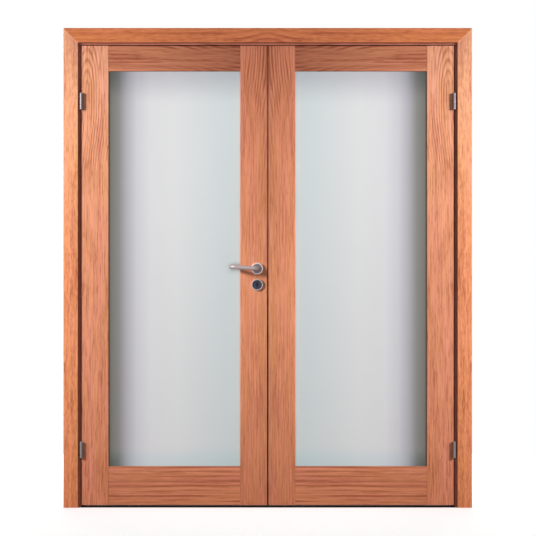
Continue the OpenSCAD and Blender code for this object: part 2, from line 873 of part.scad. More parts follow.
// The plain discs under the roses, screwed to the leaf
module rose_bases() {
    color("dimgray") for (back = [0, 1])
        on_face(back) difference() {
            cylinder(h = rose_h - rose_wall, r = rose_r - rose_wall - inlay_fit);
            translate([0, 0, -beyond]) cylinder(h = rose_h + 2 * beyond, r = lever_r + sliding_fit);
            rose_screws_at() {
                translate([0, 0, rose_screw_seat]) mirror([0, 0, 1]) screw_room(short_screw_len);
                translate([0, 0, rose_screw_seat]) cylinder(h = rose_h, d = screw_head_d + 2 * pilot_play);
            }
        }
}

module escutcheon() {
    color("silver") translate([0, -keyhole_drop, 0]) difference() {
        rounded_disc(rose_r, escutcheon_h, rose_edge_r);
        translate([0, 0, -beyond]) cylinder(h = escutcheon_h + 2 * beyond, r = rose_r - escutcheon_ring_w);
    }
}

module front_escutcheon() on_face(0) escutcheon();
module back_escutcheon() on_face(1) escutcheon();

// The front plate has the keyhole, and the back one is blind
module keyhole_plates() {
    color("darkslategray") for (back = [0, 1])
        on_face(back) translate([0, -keyhole_drop, 0]) difference() {
            cylinder(h = keyhole_plate_t, r = rose_r - escutcheon_ring_w - inlay_fit);
            if (back == 0)
                translate([0, 0, -beyond]) linear_extrude(keyhole_plate_t + 2 * beyond) keyhole(0);
        }
}

// Square hole for the spindle, of the given length
module spindle_socket(length) {
    size = spindle_size + 2 * turning_fit;
    cube([size, size, length], center = true);
}

// A quarter bend of the lever's tube about the origin, from one angle on, in the (x, z) plane
module lever_bend(from) {
    rotate([90, 0, 0]) rotate([0, 0, from]) rotate_extrude(angle = 90)
        translate([lever_bend_r, 0]) circle(lever_r);
}

// Tube bent twice: a neck out of the rose, a grip towards the hinges and a short return to the leaf
module lever() {
    bend_z = grip_out - lever_bend_r;
    return_x = lever_r - lever_len;
    color("silver") rotate([0, 0, -lever_tilt]) difference() {
        union() {
            translate([0, 0, lever_neck_in]) cylinder(h = bend_z - lever_neck_in, r = lever_r);
            translate([-lever_bend_r, 0, bend_z]) lever_bend(0);
            translate([return_x + lever_bend_r, 0, grip_out]) rotate([0, 90, 0])
                cylinder(h = -return_x - 2 * lever_bend_r, r = lever_r);
            translate([return_x + lever_bend_r, 0, bend_z]) lever_bend(90);
            translate([return_x, 0, bend_z - lever_return]) cylinder(h = lever_return, r = lever_r);
        }
        translate([0, 0, lever_neck_in + socket_deep / 2])
            spindle_socket(socket_deep + 2 * beyond);
        translate([0, 0, grub_out]) rotate([90, 0, 0]) cylinder(h = lever_d, d = grub_d);
    }
}

module front_lever() on_face(0) lever();
module back_lever() on_face(1) lever();

module spindle() {
    color("gray") on_axis() rotate([0, 0, -lever_tilt])
        cube([spindle_size, spindle_size, leaf_t + 2 * (lever_neck_in + socket_deep)], center = true);
}

module follower() {
    color("gray") on_axis() rotate([0, 0, -lever_tilt]) difference() {
        cylinder(h = case_t, d = follower_d, center = true);
        spindle_socket(case_t + 2 * beyond);
    }
}

// One set screw under each lever's neck, bearing on the spindle
module grub_screws() {
    color("gray") for (back = [0, 1])
        on_face(back) rotate([0, 0, -lever_tilt]) translate([0, -spindle_size / 2, grub_out])
            rotate([90, 0, 0]) cylinder(h = grub_len, d = grub_d - 2 * turning_fit);
}

// Right leaf's meeting stile: the strike, the seal and the flush bolts

module at_strike() translate([meeting_x, leaf_mid, lever_z]) children();

// A flush bolt's place, with z = 0 at the leaf's end and -Z into the leaf
module at_bolt(upper) {
    if (upper) translate([meeting_x, leaf_mid, leaf_z1]) children();
    else translate([meeting_x, leaf_mid, leaf_z0]) mirror([0, 0, 1]) children();
}

module at_bolts() for (upper = [true, false]) at_bolt(upper) children();

module bolt_plate(extra, ahead) edge_plate(bolt_plate_h, bolt_plate_mid, extra, ahead);

module bolt_screws_at() {
    for (side = [-1, 1])
        translate([0, 0, bolt_plate_mid + side * (bolt_plate_h / 2 - plate_screw_inset)])
            rotate([0, 90, 0]) children();
}

module meeting_groove(extra) {
    translate([meeting_x, leaf_front + meeting_seal_in, 0])
        box([-beyond, -meeting_stem.y / 2 - extra, leaf_z0 - beyond],
            [meeting_stem.x + extra, meeting_stem.y / 2 + extra, leaf_z1 + beyond]);
}

module right_meeting_stile() {
    color("lightsalmon") difference() {
        stile(meeting_x);
        glazing_pocket();
        dowel_holes();
        meeting_groove(inlay_fit);
        at_strike() {
            lock_plate(inlay_fit, beyond);
            latch_room(0, strike_deep, 2 * sliding_fit);
            dead_bolt_room(0, strike_deep, 2 * sliding_fit);
            plate_screws_at() screw_room(screw_len);
        }
        at_bolts() {
            bolt_plate(inlay_fit, beyond);
            box([0, -bolt_pocket_w / 2, bolt_plate_mid - bolt_plate_h / 2 + bolt_pocket_end],
                [bolt_pocket_deep, bolt_pocket_w / 2, bolt_plate_mid + bolt_plate_h / 2 - bolt_pocket_end]);
            translate([bolt_rod_in, 0, bolt_plate_mid])
                cylinder(h = beyond - bolt_plate_mid, r = bolt_rod_d / 2 + sliding_fit);
            bolt_screws_at() screw_room(short_screw_len);
        }
    }
}

module strike_plate() {
    color("silver") at_strike() difference() {
        lock_plate(0, 0);
        latch_room(-beyond, lock_plate_t + beyond, 2 * sliding_fit);
        dead_bolt_room(-beyond, lock_plate_t + beyond, 2 * sliding_fit);
        plate_screws_at() screw_room(screw_len);
    }
}

// Rubber fin that closes the gap between the leaves, stem in the right leaf's edge
module meeting_seal() {
    color("saddlebrown") translate([meeting_x, leaf_front + meeting_seal_in, 0]) {
        box([0, -meeting_stem.y / 2, leaf_z0], [meeting_stem.x, meeting_stem.y / 2, leaf_z1]);
        box([seal_fit - meeting_gap, -meeting_fin_t / 2, leaf_z0], [0, meeting_fin_t / 2, leaf_z1]);
    }
}

module flush_bolt_plates() {
    color("silver") at_bolts() difference() {
        bolt_plate(0, 0);
        box([-beyond, -thumb_w / 2 - sliding_fit, -thumb_start - bolt_plate_inset - sliding_fit],
            [lock_plate_t + beyond, thumb_w / 2 + sliding_fit,
             thumb_h - thumb_start - bolt_plate_inset + bolt_travel + sliding_fit]);
        bolt_screws_at() screw_room(short_screw_len);
    }
}

// A rod that slides out of the leaf's end, with the slide that the thumb pushes
module flush_bolt() {
    slide_low = -thumb_start - bolt_plate_inset;
    translate([bolt_rod_in, 0, slide_low - rod_tail])
        cylinder(h = rod_tail - slide_low - bolt_flush, d = bolt_rod_d);
    box([thumb_recess, -thumb_w / 2, slide_low], [bolt_rod_in, thumb_w / 2, slide_low + thumb_h]);
}

module upper_flush_bolt() color("silver") at_bolt(true) flush_bolt();
module lower_flush_bolt() color("silver") at_bolt(false) flush_bolt();

// The plate in the head that takes the upper flush bolt
module at_keep() translate([meeting_x + bolt_rod_in, leaf_mid, head_z]) children();

module keep_screws_at() {
    for (side = [-1, 1])
        translate([side * (keep_plate.x / 2 - plate_screw_inset), 0, 0]) children();
}

module bolt_keep() {
    color("silver") at_keep() difference() {
        translate([0, 0, keep_plate.z / 2]) cube(keep_plate, center = true);
        translate([0, 0, -beyond]) cylinder(h = keep_plate.z + 2 * beyond, d = keep_hole_d);
        keep_screws_at() screw_room(screw_len);
    }
}

module right_leaf_screws() {
    color("gray") {
        at_hinges() hinge_screws_at(1) wood_screw(screw_len);
        at_strike() plate_screws_at() wood_screw(screw_len);
        at_bolts() bolt_screws_at() wood_screw(short_screw_len);
    }
}

left_jamb();
right_jamb();
head_jamb();
threshold();
left_casing();
right_casing();
head_casing();
left_stop_seal();
right_stop_seal();
head_stop_seal();
left_upper_frame_hinge();
left_lower_frame_hinge();
right_upper_frame_hinge();
right_lower_frame_hinge();
hinge_pins();
frame_screws();
bolt_keep();
left_hinge_stile();
left_lock_stile();
left_top_rail();
left_bottom_rail();
left_glass();
left_glazing_seals();
left_glazing_beads();
left_dowels();
left_upper_leaf_hinge();
left_lower_leaf_hinge();
left_leaf_screws();
lock_case();
lock_faceplate();
latch_bolt();
dead_bolt();
front_rose();
back_rose();
rose_bases();
front_escutcheon();
back_escutcheon();
keyhole_plates();
front_lever();
back_lever();
spindle();
follower();
grub_screws();
right_hinge_stile();
right_meeting_stile();
right_top_rail();
right_bottom_rail();
right_glass();
right_glazing_seals();
right_glazing_beads();
right_dowels();
right_upper_leaf_hinge();
right_lower_leaf_hinge();
right_leaf_screws();
strike_plate();
meeting_seal();
flush_bolt_plates();
upper_flush_bolt();
lower_flush_bolt();
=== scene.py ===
"""Looks of the french doors: veneered wood, frosted glass, satin metal and the studio round them."""
import json
import math

import bpy
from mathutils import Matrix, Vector


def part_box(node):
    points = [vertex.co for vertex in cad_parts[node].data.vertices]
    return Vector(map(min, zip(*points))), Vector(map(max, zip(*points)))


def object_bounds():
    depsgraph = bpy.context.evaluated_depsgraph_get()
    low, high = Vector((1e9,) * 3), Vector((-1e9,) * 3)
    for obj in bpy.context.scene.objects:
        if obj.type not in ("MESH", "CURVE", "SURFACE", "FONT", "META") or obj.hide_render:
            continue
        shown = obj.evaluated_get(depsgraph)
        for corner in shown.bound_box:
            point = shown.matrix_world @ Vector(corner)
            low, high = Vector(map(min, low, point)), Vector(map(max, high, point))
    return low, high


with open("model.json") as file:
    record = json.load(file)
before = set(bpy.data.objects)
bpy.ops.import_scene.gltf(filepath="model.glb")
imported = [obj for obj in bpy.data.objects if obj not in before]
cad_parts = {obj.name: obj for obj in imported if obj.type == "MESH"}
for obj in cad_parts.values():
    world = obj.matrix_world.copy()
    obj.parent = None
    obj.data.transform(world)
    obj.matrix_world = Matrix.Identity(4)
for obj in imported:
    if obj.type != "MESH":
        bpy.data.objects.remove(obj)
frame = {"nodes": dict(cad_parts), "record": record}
cad_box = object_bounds()
nodes = frame["nodes"]

# Photograph: a square picture seen straight from the front, with its scale at the leaves' front faces
PHOTO_PX = 536
MM_PER_PX = 4.4425
MIDDLE_PX = 267.75
FLOOR_PX = 507.6
CAMERA_DISTANCE = 14.0
SENSOR_MM = 36.0

# Places in the frame, in metres, read from the solids
LEAF_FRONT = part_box("right_hinge_stile")[0][1]
HINGE_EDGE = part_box("right_hinge_stile")[1][0]
MEETING_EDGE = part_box("right_meeting_stile")[0][0]
GLASS_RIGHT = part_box("right_bottom_rail")[1][0]
GLASS_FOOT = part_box("right_bottom_rail")[1][2]
GLASS_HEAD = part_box("right_top_rail")[0][2]
CASING_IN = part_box("right_casing")[0][0]
HEAD_CASING_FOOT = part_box("head_casing")[0][2]
DOOR_TOP = cad_box[1][2]

WHITE = (1.0, 1.0, 1.0)


class Shader:
    """A material under construction, with short calls for the nodes that the materials share."""

    def __init__(self, name):
        self.material = bpy.data.materials.new(name)
        self.material.use_nodes = True
        self.tree = self.material.node_tree
        self.surface = self.tree.nodes["Principled BSDF"]

    def put(self, socket, value):
        """Links an output to a socket, or sets the socket's own value."""
        if isinstance(value, bpy.types.NodeSocket):
            self.tree.links.new(value, socket)
        elif isinstance(value, tuple) and len(value) == 3 and socket.type == "RGBA":
            socket.default_value = (*value, 1.0)
        else:
            socket.default_value = value

    def set(self, **values):
        """Sets the surface's sockets; an underscore in a name stands for a space."""
        for name, value in values.items():
            self.put(self.surface.inputs[name.replace("_", " ")], value)

    def node(self, kind, **settings):
        made = self.tree.nodes.new(kind)
        for name, value in settings.items():
            setattr(made, name, value)
        return made

    def math(self, operation, a, b=0.0, clamp=False):
        made = self.node("ShaderNodeMath", operation=operation, use_clamp=clamp)
        self.put(made.inputs[0], a)
        self.put(made.inputs[1], b)
        return made.outputs[0]

    def total(self, *values):
        result = values[0]
        for value in values[1:]:
            result = self.math("ADD", result, value)
        return result

    def scaled(self, value, factor):
        return self.math("MULTIPLY", value, factor)

    def swing(self, value, strength):
        """A value about 0.5, turned into a swing about zero of the given strength."""
        return self.scaled(self.math("SUBTRACT", value, 0.5), 2.0 * strength)

    def vector(self, x, y, z):
        made = self.node("ShaderNodeCombineXYZ")
        for socket, value in zip(made.inputs, (x, y, z)):
            self.put(socket, value)
        return made.outputs[0]

    def place(self):
        """The surface point's x, y and z in the part's own frame, in metres."""
        made = self.node("ShaderNodeSeparateXYZ")
        self.put(made.inputs[0], self.node("ShaderNodeTexCoord").outputs["Object"])
        return made.outputs

    def noise(self, at, detail=3.0, roughness=0.55):
        """Noise of unit scale, spread to fill the range from 0 to 1."""
        made = self.node("ShaderNodeTexNoise")
        self.put(made.inputs["Vector"], at)
        made.inputs["Scale"].default_value = 1.0
        made.inputs["Detail"].default_value = detail
        made.inputs["Roughness"].default_value = roughness
        return self.span(made.outputs[0], 0.28, 0.72)

    def span(self, value, low, high, to_low=0.0, to_high=1.0, smooth=False):
        """Carries the range low to high over to another range, without passing its ends."""
        made = self.node("ShaderNodeMapRange", clamp=True)
        made.interpolation_type = "SMOOTHSTEP" if smooth else "LINEAR"
        for socket, number in zip(made.inputs, (value, low, high, to_low, to_high)):
            self.put(socket, number)
        return made.outputs[0]

    def ramp(self, factor, stops):
        """A ramp over a factor; each stop is a place and a grey or a colour."""
        made = self.node("ShaderNodeValToRGB")
        elements = made.color_ramp.elements
        while len(elements) < len(stops):
            elements.new(0.5)
        for element, (place, colour) in zip(elements, stops):
            element.position = place
            element.color = (*colour, 1.0) if isinstance(colour, tuple) else (colour, colour, colour, 1.0)
        self.put(made.inputs[0], factor)
        return made.outputs[0]

    def mix(self, factor, a, b, blend="MIX"):
        made = self.node("ShaderNodeMix", data_type="RGBA", blend_type=blend)
        self.put(made.inputs[0], factor)
        self.put(made.inputs[6], a)
        self.put(made.inputs[7], b)
        return made.outputs[2]

    def bump(self, height, strength, distance):
        made = self.node("ShaderNodeBump")
        made.inputs["Strength"].default_value = strength
        made.inputs["Distance"].default_value = distance
        self.put(made.inputs["Height"], height)
        self.put(self.surface.inputs["Normal"], made.outputs[0])


# Wood

LATE_WOOD = (0.52, 0.36, 0.29)
GOLDEN = (0.97, 1.0, 0.86)
PINKISH = (1.03, 1.0, 1.14)
# Painted shade on the meeting edge for the dark gap between the leaves, and how far it reaches from that
# edge
GAP_SHADE_COLOUR = (0.45, 0.36, 0.32)
GAP_SHADE_WIDTH = (0.0005, 0.0015)
FADED_RINGS = 0.3
# Height over which the foot colour, partly painted light, fades into the board's other colours
FOOT_HEIGHT = 0.9

# Places along a board between which its colour goes from deep to light, in metres; the change is partly the
# veneer's tone and partly painted light falloff
UPRIGHT_COLOURS = (0.45 * DOOR_TOP, 0.95 * DOOR_TOP)
LEVEL_COLOURS = (0.15, 0.75)

# Features that all boards share, in counts per metre across the board and along it
PRESENCE_SIZE = (14.0, 2.2)
DASH_SIZE = (160.0, 17.0)
FIBRE_SIZE = (230.0, 9.0)
PORE_SIZE = (900.0, 38.0)
HUE_SIZE = (22.0, 3.0)

# Share of the fibres and the pores in a board's tone, and the tone that they swing about
FIBRE_TONE = 0.3
PORE_TONE = 0.15
MIDDLE_TONE = 0.2

# Parts of the noise that draw the features
PRESENCE_RANGE = (0.3, 0.75)
PRESENCE_STRENGTH = (0.1, 1.0)
DASH_RANGE = (0.6, 0.9)
PORE_RANGE = (0.75, 0.95)

# Gloss, and the relief of the fibres and rings beside that of the pores
WOOD_ROUGHNESS = (0.40, 0.55)
WOOD_GLOSS = 0.3
FIBRE_RELIEF = 0.4
RING_RELIEF = 0.2

# Late wood across one growth ring, from its inner to its outer side
RING_PROFILE = [(0.0, 0.05), (0.4, 0.12), (0.72, 1.0), (0.86, 0.9), (1.0, 0.05)]

# Heights between which the meeting gap goes from painted shade, dark, to painted light, brown, in metres
GAP_SHADE_FADE = (0.85, 1.30)


def wood(name, upright, light, deep, pith, rings, foot=None, arch=None, fade=None, bend=None,
         waviness=0.003, wave_size=(9.0, 1.6), lines=0.5, streaks=0.3, streak_size=(75.0, 3.0), dashes=0.3,
         patches=0.2, patch_size=(30.0, 4.0), dark_edge=None, seed=0.0):
    """Veneer with growth rings cut lengthwise, mirrored about the middle of the doors.

    light is the colour between the rings near the top of an upright board, or near the hinges of a
    level one, and deep what it tends to lower down, or towards the middle of the doors; the change
    between them is partly the veneer's tone and partly painted light falloff.
    foot is the colour near the floor, where it differs from deep, and is likewise partly painted light.
    pith is the ring centre's place across the board and rings the ring width, in metres.
    arch gives the height above which the pith sinks into the board and how fast, which draws arches there.
    fade gives two places along the board between which the rings gain their full strength.
    bend gives two places along the board between which the rings drop, and by how much.
    The sizes of waves, streaks and patches are counts per metre, across the board and along it.
    dark_edge is the place of a rounded side edge that gets painted shade in its lower half, for the dark
    gap between the leaves.
    """
    s = Shader(name)
    x, depth, z = s.place()
    x = s.math("ABSOLUTE", x)
    across, along = (x, z) if upright else (z, x)

    def grain(per_metre, offset, **settings):
        """Noise drawn out along the board, with so many features per metre across and along it."""
        wide, long = per_metre
        at = s.vector(s.total(s.scaled(across, wide), seed + offset),
                      s.scaled(depth, wide),
                      s.scaled(along, long))
        return s.noise(at, **settings)

    aside = s.total(across, -pith, s.swing(grain(wave_size, 0.0, detail=2.0), waviness))
    if bend:
        start, end, drop = bend
        aside = s.total(aside, s.span(along, start, end, 0.0, drop, smooth=True))
    below = s.math("SUBTRACT", depth, LEAF_FRONT)
    if arch:
        heart, rise = arch
        below = s.total(below, s.scaled(s.math("MAXIMUM", s.math("SUBTRACT", along, heart), 0.0), rise))
    ring_strength = lines
    if fade:
        ring_strength = s.span(along, *fade, FADED_RINGS * lines, lines, smooth=True)
    radius = s.math("SQRT", s.total(s.math("MULTIPLY", aside, aside), s.math("MULTIPLY", below, below)))
    growth = s.math("FRACT", s.math("DIVIDE", radius, rings))
    late = s.ramp(growth, RING_PROFILE)

    presence = s.span(grain(PRESENCE_SIZE, 7.0, detail=2.0), *PRESENCE_RANGE, *PRESENCE_STRENGTH)
    streak = grain(streak_size, 13.0, detail=4.0, roughness=0.65)
    dash = s.span(grain(DASH_SIZE, 19.0, detail=2.0), *DASH_RANGE)
    patch = grain(patch_size, 17.0, detail=4.0)
    fibre = grain(FIBRE_SIZE, 23.0, detail=3.0, roughness=0.7)
    pore = s.span(grain(PORE_SIZE, 31.0, detail=1.0), *PORE_RANGE)
    tone = s.total(s.scaled(s.math("MULTIPLY", late, presence), ring_strength),
                   s.swing(streak, streaks),
                   s.scaled(dash, dashes),
                   s.swing(patch, patches),
                   s.swing(fibre, FIBRE_TONE),
                   s.scaled(pore, PORE_TONE))
    tone = s.math("ADD", tone, MIDDLE_TONE, clamp=True)

    # From light to deep along the board, and to the foot colour: partly the veneer's tone, partly painted
    # light falloff
    near, far = UPRIGHT_COLOURS if upright else LEVEL_COLOURS
    falloff_and_tone = s.span(along, near, far, 1.0, 0.0, smooth=True)
    hue = s.mix(grain(HUE_SIZE, 41.0, detail=2.0), GOLDEN, PINKISH)
    ground = s.mix(falloff_and_tone, light, deep)
    if foot:
        ground = s.mix(s.span(along, 0.0, FOOT_HEIGHT, 1.0, 0.0), ground, foot)
    ground = s.mix(1.0, ground, hue, "MULTIPLY")
    # Painted shade of the gap between the leaves on the meeting edge, fading out higher up
    if dark_edge:
        inner, outer = (dark_edge + width for width in GAP_SHADE_WIDTH)
        edge = s.mix(s.span(along, *GAP_SHADE_FADE), GAP_SHADE_COLOUR, WHITE)
        gap_shade = s.mix(s.span(x, inner, outer), edge, WHITE)
        ground = s.mix(1.0, ground, gap_shade, "MULTIPLY")
    s.set(Base_Color=s.mix(tone, ground, s.mix(1.0, ground, LATE_WOOD, "MULTIPLY")),
          Roughness=s.span(fibre, 0.0, 1.0, *WOOD_ROUGHNESS), Specular_IOR_Level=WOOD_GLOSS)
    hollows = s.total(pore, s.scaled(late, RING_RELIEF))
    s.bump(s.math("SUBTRACT", s.scaled(fibre, FIBRE_RELIEF), hollows), strength=0.25, distance=0.0004)
    return s.material


# Board colours: light, deep and foot hold painted light falloff besides the veneer's own tone
LEAF_LIGHT = (0.92, 0.42, 0.245)
LEAF_DEEP = (0.745, 0.295, 0.162)
LEAF_FOOT = (0.815, 0.298, 0.157)
MEETING_LIGHT = (0.745, 0.268, 0.147)
MEETING_DEEP = (0.86, 0.335, 0.174)
MEETING_FOOT = (0.685, 0.245, 0.124)
CASING_LIGHT = (0.93, 0.44, 0.24)
CASING_DEEP = (0.82, 0.308, 0.135)
CASING_FOOT = (0.94, 0.333, 0.141)
# The jambs' brown is darkened with painted shade of the reveals beside and over the leaves
JAMB_BROWN_AND_SHADE = (0.42, 0.14, 0.10)
TOP_RAIL_LIGHT = (0.65, 0.243, 0.13)
TOP_RAIL_DEEP = (0.483, 0.166, 0.084)
BOTTOM_RAIL_BROWN = (0.725, 0.266, 0.136)
HEAD_LIGHT = (0.60, 0.188, 0.071)
HEAD_DEEP = (0.485, 0.15, 0.056)
BEECH = (0.66, 0.46, 0.28)

WOODS = {
    "hinge_stile": wood(
        "hinge_stile_wood", True, LEAF_LIGHT, LEAF_DEEP, pith=HINGE_EDGE - 0.024, rings=0.0115,
        foot=LEAF_FOOT, arch=(1.857, 0.24), fade=(1.307, 1.757), bend=(1.766, 1.455, -0.031),
        waviness=0.004, lines=0.7, streaks=0.4, streak_size=(170.0, 5.0), dashes=0.4, seed=1.0),
    "meeting_stile": wood(
        "meeting_stile_wood", True, MEETING_LIGHT, MEETING_DEEP, pith=0.20, rings=0.0125, foot=MEETING_FOOT,
        fade=(1.45, 1.95), bend=(2.06, 1.35, -0.06), waviness=0.010, wave_size=(12.0, 1.3), lines=0.95,
        streaks=0.27, streak_size=(170.0, 7.0), dashes=0.2, patches=0.1, dark_edge=MEETING_EDGE, seed=2.0),
    "top_rail": wood(
        "top_rail_wood", False, TOP_RAIL_LIGHT, TOP_RAIL_DEEP, pith=GLASS_HEAD - 0.10, rings=0.018,
        bend=(0.50, 0.10, 0.075), waviness=0.003, wave_size=(6.0, 1.5), lines=1.3, streaks=0.6,
        streak_size=(190.0, 1.8), dashes=0.3, patches=0.1, seed=3.0),
    "bottom_rail": wood(
        "bottom_rail_wood", False, BOTTOM_RAIL_BROWN, BOTTOM_RAIL_BROWN, pith=GLASS_FOOT - 0.40,
        rings=0.021, waviness=0.006, wave_size=(5.0, 1.6), lines=0.7, streaks=0.35,
        streak_size=(140.0, 2.2), dashes=0.15, patches=0.1, seed=4.0),
    "casing": wood(
        "casing_wood", True, CASING_LIGHT, CASING_DEEP, pith=CASING_IN + 0.02, rings=0.020,
        foot=CASING_FOOT, waviness=0.016, wave_size=(30.0, 6.0), lines=0.35, streaks=0.12, patches=0.3,
        patch_size=(190.0, 42.0), seed=5.0),
    "head_casing": wood(
        "head_casing_wood", False, HEAD_LIGHT, HEAD_DEEP, pith=HEAD_CASING_FOOT - 0.111, rings=0.027,
        fade=(0.50, 0.16), bend=(0.0, 0.14, 0.030), waviness=0.005, wave_size=(22.0, 4.0), lines=0.95,
        streaks=0.1, patches=0.25, patch_size=(150.0, 30.0), seed=6.0),
    "jamb": wood(
        "jamb_wood", True, JAMB_BROWN_AND_SHADE, JAMB_BROWN_AND_SHADE, pith=HINGE_EDGE - 0.1, rings=0.012, lines=0.4,
        seed=8.0),
    "head_jamb": wood(
        "head_jamb_wood", False, JAMB_BROWN_AND_SHADE, JAMB_BROWN_AND_SHADE, pith=DOOR_TOP - 0.3, rings=0.012, lines=0.4,
        seed=9.0),
    "glazing_beads": wood(
        "bead_wood", True, LEAF_LIGHT, LEAF_DEEP, pith=0.3, rings=0.009, lines=0.35, seed=10.0),
    "dowels": wood("dowel_wood", False, BEECH, BEECH, pith=0.5, rings=0.003, lines=0.3, seed=11.0),
}
WOODS["lock_stile"] = WOODS["meeting_stile"]


# Glass, whose colour holds painted shade beside the hinge stile and towards the ends of the pane: the
# reaches are in metres from the edges of the pane

SHADE_REACH = 0.30
MEETING_COLOUR_REACH = 0.56
CORNER_REACH = 0.10
TOP_REACH = 0.16
FOOT_REACH = 0.10
CORNER_END = 0.8
ETCH_PER_METRE = 900.0
GLASS_ROUGHNESS = (0.45, 0.58)
# The meeting side's darker, cooler colour, then the painted shade in the hinge-side corners, at the top and
# at the foot
MEETING_SIDE_COLOUR = (0.54, 0.60, 0.61)
CORNER_PAINTED_SHADE = (0.38, 0.46, 0.42)
TOP_PAINTED_SHADE = (0.72, 0.71, 0.75)
FOOT_PAINTED_SHADE = (0.82, 0.94, 0.97)

# Colours across the painted shade beside the hinge stile, which starts with a painted shadow line at the
# stile and brightens away from it
SIDE_PAINTED_SHADES = [
    (0.0, (0.03, 0.008, 0.004)), (0.014, (0.03, 0.011, 0.007)), (0.022, (0.11, 0.11, 0.09)),
    (0.057, (0.135, 0.135, 0.115)), (0.147, (0.20, 0.19, 0.18)), (0.265, (0.395, 0.385, 0.42)),
    (0.413, (0.575, 0.57, 0.60)), (0.613, (0.67, 0.67, 0.685)), (1.0, (0.675, 0.68, 0.685)),
]


def frosted_glass():
    """Satin etched glass with painted shade beside the hinge stile, in its corners there and towards the
    ends of the pane, and a darker, cooler colour towards the meeting stile.
    """
    s = Shader("frosted_glass")
    x, y, z = s.place()
    # Painted shade towards the top and the foot of the pane
    top = s.span(s.math("SUBTRACT", GLASS_HEAD, z), 0.0, TOP_REACH, 0.0, 1.0, smooth=True)
    foot = s.span(s.math("SUBTRACT", z, GLASS_FOOT), 0.0, FOOT_REACH, 0.0, 1.0, smooth=True)
    from_stile = s.math("SUBTRACT", GLASS_RIGHT, s.math("ABSOLUTE", x))
    # Painted shade in the pane's corners beside the hinge stile
    corner = s.math("MULTIPLY", s.span(s.math("MINIMUM", top, foot), 0.0, CORNER_END, 1.0, 0.0),
                    s.span(from_stile, 0.0, CORNER_REACH, 1.0, 0.0, smooth=True))
    # Painted shade and painted shadow line beside the hinge stile
    side = s.ramp(s.span(from_stile, 0.0, SHADE_REACH), SIDE_PAINTED_SHADES)
    side = s.mix(1.0, side, s.mix(corner, WHITE, CORNER_PAINTED_SHADE), "MULTIPLY")
    # Darker, cooler colour towards the meeting stile
    toward_meeting = s.mix(s.span(from_stile, SHADE_REACH, MEETING_COLOUR_REACH), side, MEETING_SIDE_COLOUR)
    ends = s.mix(1.0, s.mix(top, TOP_PAINTED_SHADE, WHITE), s.mix(foot, FOOT_PAINTED_SHADE, WHITE), "MULTIPLY")
    etch = s.noise(s.vector(*(s.scaled(axis, ETCH_PER_METRE) for axis in (x, y, z))), detail=2.0)
    s.set(Base_Color=s.mix(1.0, toward_meeting, ends, "MULTIPLY"),
          Roughness=s.span(etch, 0.0, 1.0, *GLASS_ROUGHNESS), Transmission_Weight=0.2, IOR=1.45)
    s.bump(etch, strength=0.08, distance=0.0002)
    return s.material


# Metal, rubber and plastic

BRUSH_STRENGTH = 0.3
BRUSH_SHADE = 0.7
CLOUD_STRENGTH = 0.2
CLOUD_SHADE = 0.8
CLOUDS_PER_METRE = 60.0
PATCH_SHADE = 0.75
PATCHES_PER_METRE = 25.0
METAL_DULLER = 0.08
METAL_GLOSSIER = 0.06
SKIN_SPREAD = 0.08
RUBBER_GLOSS = 0.02

# A pale rim of painted reflection, in shares of the disc's radius
REFLECTION_RIM_START = 0.78
REFLECTION_RIM_END = 0.86


def shaded(colour, shade):
    """A darker tone of a colour."""
    return tuple(shade * channel for channel in colour)


def metal(name, colour, roughness, per_metre, metallic=1.0, rim=None):
    """Satin metal with fine brush lines; per_metre gives the lines' density along x, y and z.

    rim names a disc that faces the front, and gives the colour of a pale ring painted round its edge, a
    painted reflection.
    """
    s = Shader(name)
    place = s.place()
    lines = s.noise(s.vector(*(s.scaled(axis, density) for axis, density in zip(place, per_metre))),
                    detail=4.0, roughness=0.7)
    cloud = s.noise(s.vector(*(s.scaled(axis, CLOUDS_PER_METRE) for axis in place)))
    shade = s.mix(s.scaled(lines, BRUSH_STRENGTH), colour, shaded(colour, BRUSH_SHADE))
    shade = s.mix(s.scaled(cloud, CLOUD_STRENGTH), shade, shaded(colour, CLOUD_SHADE))
    if rim:
        disc, rim_colour = rim
        low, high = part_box(disc)
        radius = 0.5 * (high[0] - low[0])
        aside, above = (s.math("SUBTRACT", place[i], 0.5 * (low[i] + high[i])) for i in (0, 2))
        out = s.math("SQRT", s.total(s.math("MULTIPLY", aside, aside), s.math("MULTIPLY", above, above)))
        # Painted reflection: a pale ring round the disc's edge
        shade = s.mix(s.span(out, REFLECTION_RIM_START * radius, REFLECTION_RIM_END * radius), shade, rim_colour)
    s.set(Base_Color=shade,
          Roughness=s.span(lines, 0.0, 1.0, roughness - METAL_GLOSSIER, roughness + METAL_DULLER),
          Metallic=metallic)
    s.bump(lines, strength=0.12, distance=0.0001)
    return s.material


def moulded(name, colour, roughness, grain_per_metre=700.0, head=None):
    """Matt rubber or plastic with a fine skin and slight patches; head is a lighter colour for its upper
    half, painted light.
    """
    s = Shader(name)
    place = s.place()
    skin = s.noise(s.vector(*(s.scaled(axis, grain_per_metre) for axis in place)), detail=2.0)
    cloud = s.noise(s.vector(*(s.scaled(axis, PATCHES_PER_METRE) for axis in place)))
    shade = s.mix(cloud, colour, shaded(colour, PATCH_SHADE))
    # Painted light: the upper half turns to the head colour
    if head:
        shade = s.mix(s.span(place[2], *GAP_SHADE_FADE), shade, head)
    s.set(Base_Color=shade,
          Roughness=s.span(skin, 0.0, 1.0, roughness - SKIN_SPREAD, roughness + SKIN_SPREAD),
          Specular_IOR_Level=RUBBER_GLOSS)
    s.bump(skin, strength=0.15, distance=0.0002)
    return s.material


